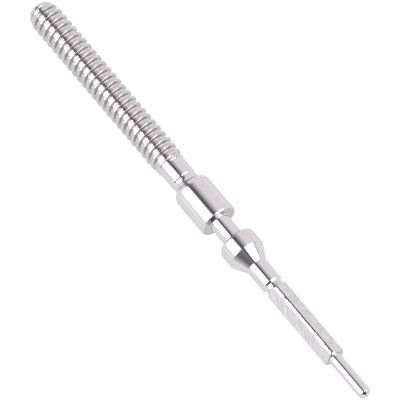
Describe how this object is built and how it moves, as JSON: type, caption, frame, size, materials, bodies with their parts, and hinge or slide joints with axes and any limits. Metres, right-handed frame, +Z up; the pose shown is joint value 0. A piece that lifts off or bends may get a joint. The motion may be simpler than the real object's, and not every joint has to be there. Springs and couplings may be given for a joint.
{
  "type": "watch stem",
  "caption": "Winding stem for a small watch movement: crown thread, bearing collar, setting lever groove, conical collar, pinion seat, drive square and pilot.",
  "frame": {"origin": "on the stem's axis, in the middle of the bearing collar", "axes": "+X along the axis from the crown end to the pilot end, +Z up, through a corner of the drive square"},
  "size_m": [0.0149, 0.001, 0.001],
  "materials": {
    "steel": "fine turned and burnished, with milled flats on the square"
  },
  "bodies": {
    "root": {"winding_stem": "steel"}
  },
  "joints": []
}
